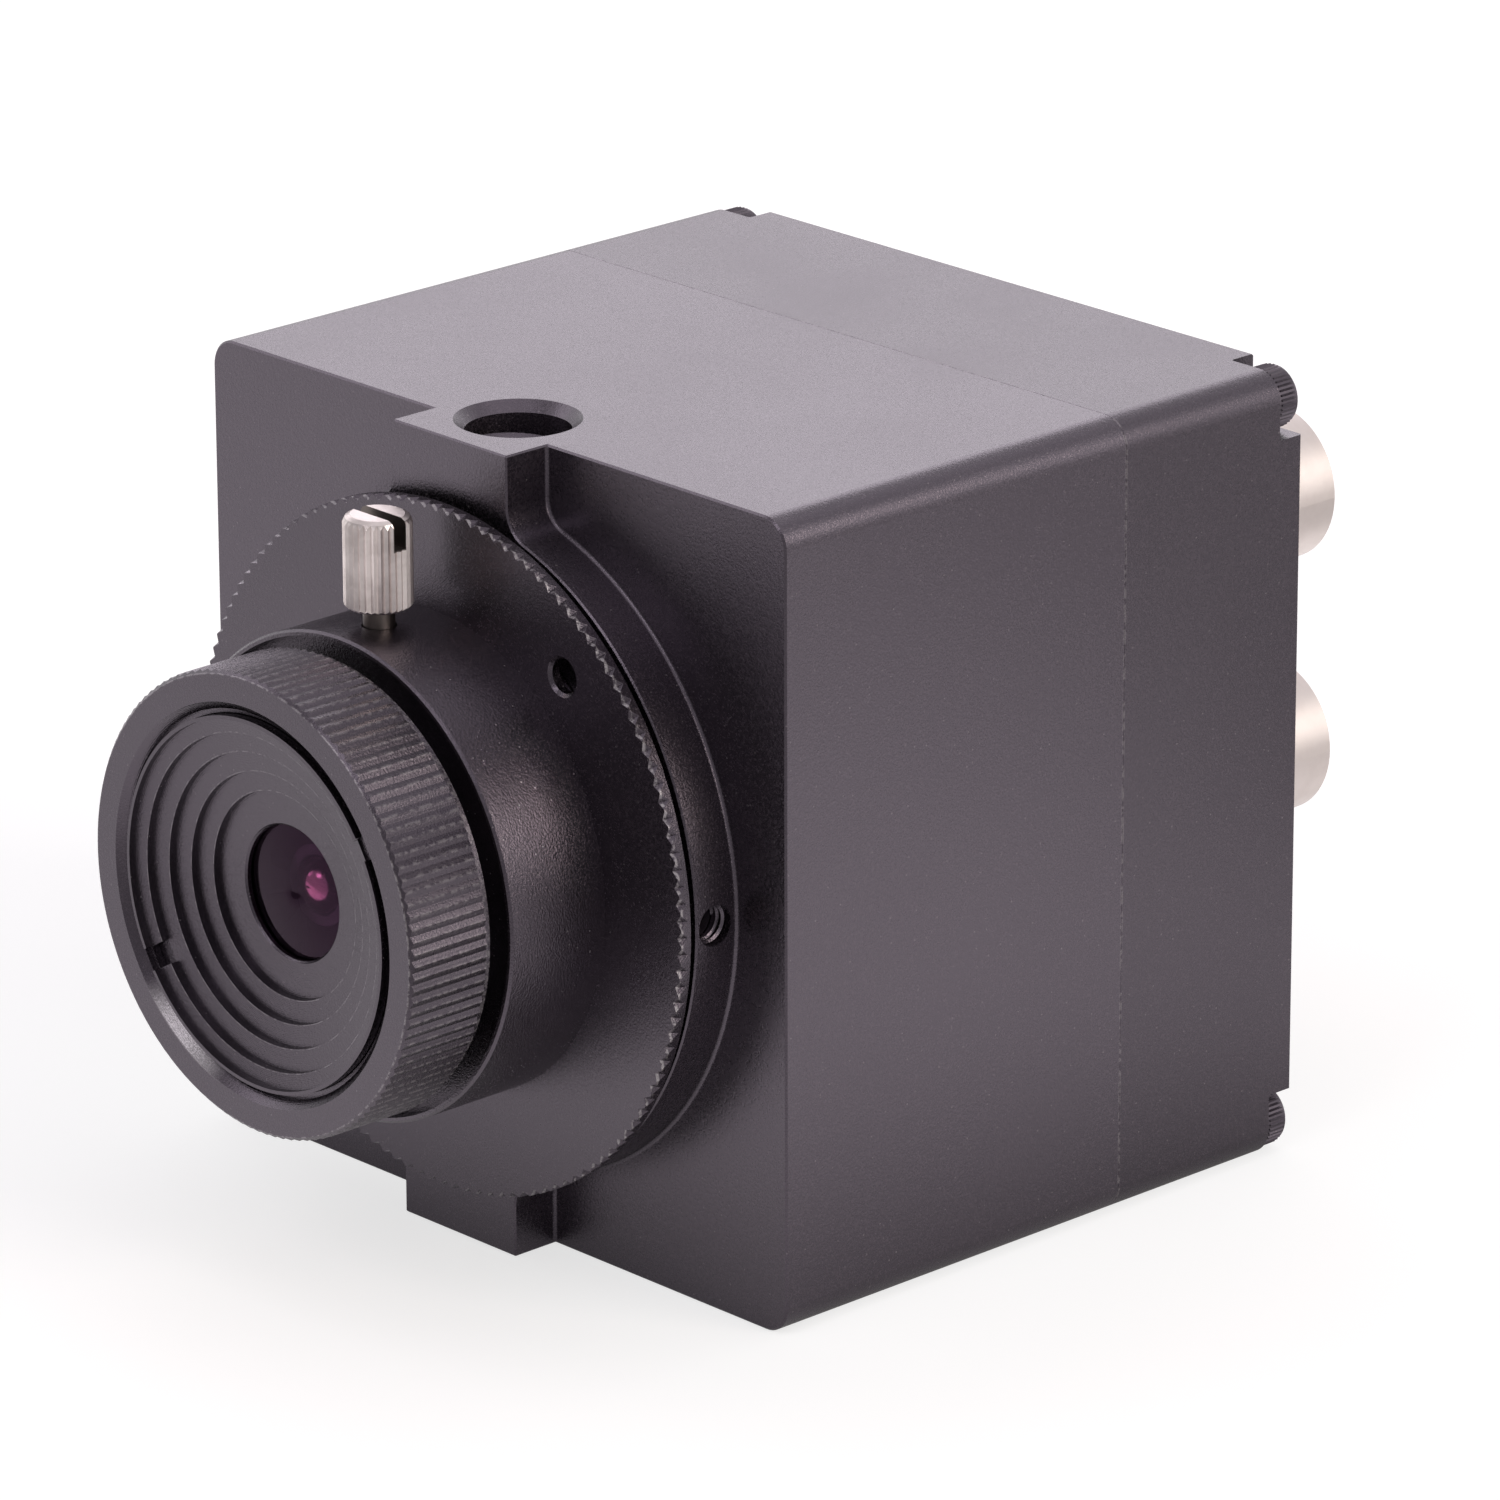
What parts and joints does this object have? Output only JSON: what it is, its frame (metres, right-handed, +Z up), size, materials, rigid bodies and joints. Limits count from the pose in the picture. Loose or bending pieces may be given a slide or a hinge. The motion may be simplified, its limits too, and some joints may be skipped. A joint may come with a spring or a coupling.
{
  "type": "genlock camera",
  "caption": "Small cube studio camera in a black two-part milled housing, with a toothed lens mount ring, a manual-focus lens with a lock screw, tripod sockets and rear bayonet jacks.",
  "frame": {"origin": "under the middle of the bounding box, at the height of the bottom face", "axes": "+Z up, the lens looks along -Y, the jacks point along +Y"},
  "size_m": [0.05, 0.072, 0.05],
  "materials": {
    "housing_black": "black anodised over a fine bead blast",
    "mount_ring_black": "black anodised, turned",
    "barrel_black": "satin black anodised",
    "focus_ring_black": "satin black anodised, ridged",
    "baffle_black": "matte black anodised",
    "lens_inner_black": "matte black anodised",
    "coated_glass": "coated optical glass with a magenta reflection",
    "inner_glass": "clear optical glass",
    "filter_glass": "pale blue absorbing glass",
    "holder_black": "matte black moulding",
    "dark_screws": "black oxide steel",
    "nickel_screw": "bright nickel plate",
    "pillar_brass": "nickel plated brass",
    "steel_screws": "zinc plated steel",
    "circuit_board": "green solder mask",
    "chip_black": "moulded black",
    "jack_nickel": "bright nickel plate",
    "jack_insulator": "white insulating plastic",
    "gold_contact": "gold flash",
    "socket_steel": "folded bright steel",
    "socket_black": "moulded black"
  },
  "bodies": {
    "camera_body": {"front_housing": "housing_black", "rear_housing": "housing_black", "housing_screws": "dark_screws", "mount_set_screws": "dark_screws", "infrared_filter": "filter_glass", "filter_holder": "holder_black", "sensor_glass": "inner_glass", "sensor_package": "chip_black", "sensor_board": "circuit_board", "front_pillars": "pillar_brass", "sensor_link": "chip_black", "main_board": "circuit_board", "image_processor": "chip_black", "rear_pillars": "pillar_brass", "jack_link": "chip_black", "jack_board": "circuit_board", "board_screws": "steel_screws", "upper_jack_shell": "jack_nickel", "upper_jack_insulator": "jack_insulator", "upper_jack_contact": "gold_contact", "lower_jack_shell": "jack_nickel", "lower_jack_insulator": "jack_insulator", "lower_jack_contact": "gold_contact", "digital_socket_shell": "socket_steel", "digital_socket_tongue": "socket_black", "power_jack": "socket_black", "power_pin": "gold_contact", "control_jack": "socket_black"},
    "thread_sleeve": {"thread_sleeve": "lens_inner_black"},
    "lens_mount": {"mount_ring": "mount_ring_black", "lens_barrel": "barrel_black"},
    "lock_screw": {"lock_screw": "nickel_screw"},
    "optic_cell": {"optic_cell": "lens_inner_black", "front_element": "coated_glass", "front_spacer": "lens_inner_black", "aperture_stop": "lens_inner_black", "middle_element": "inner_glass", "rear_spacer": "lens_inner_black", "rear_element": "inner_glass", "lens_retainer": "lens_inner_black"},
    "focus_ring": {"focus_ring": "focus_ring_black", "baffle_ring": "baffle_black"}
  },
  "joints": [
    {"name": "mount_travel", "type": "slide", "parent": "camera_body", "child": "thread_sleeve", "axis": [0, -1, 0], "range_m": [-0.0001894, 0.0007575]},
    {"name": "mount_turn", "type": "hinge", "parent": "thread_sleeve", "child": "lens_mount", "pos_m": [0, -0.02175, 0.025], "axis": [0, -1, 0], "range_deg": [-90, 360]},
    {"name": "lock_turn", "type": "hinge", "parent": "lens_mount", "child": "lock_screw", "pos_m": [0, -0.0258, 0.0409], "axis": [0, 0, 1], "range_deg": [0, 360]},
    {"name": "focus_travel", "type": "slide", "parent": "lens_mount", "child": "optic_cell", "axis": [0, -1, 0], "range_m": [-0.00057, 0.00057]},
    {"name": "focus_turn", "type": "hinge", "parent": "optic_cell", "child": "focus_ring", "pos_m": [0, -0.0329, 0.025], "axis": [0, -1, 0], "range_deg": [-270, 270]}
  ],
  "couplings": [
    {"joint": "mount_travel", "follows": "mount_turn", "m_per_rad": 0.00011937},
    {"joint": "focus_travel", "follows": "focus_turn", "m_per_rad": 0.00011937}
  ]
}
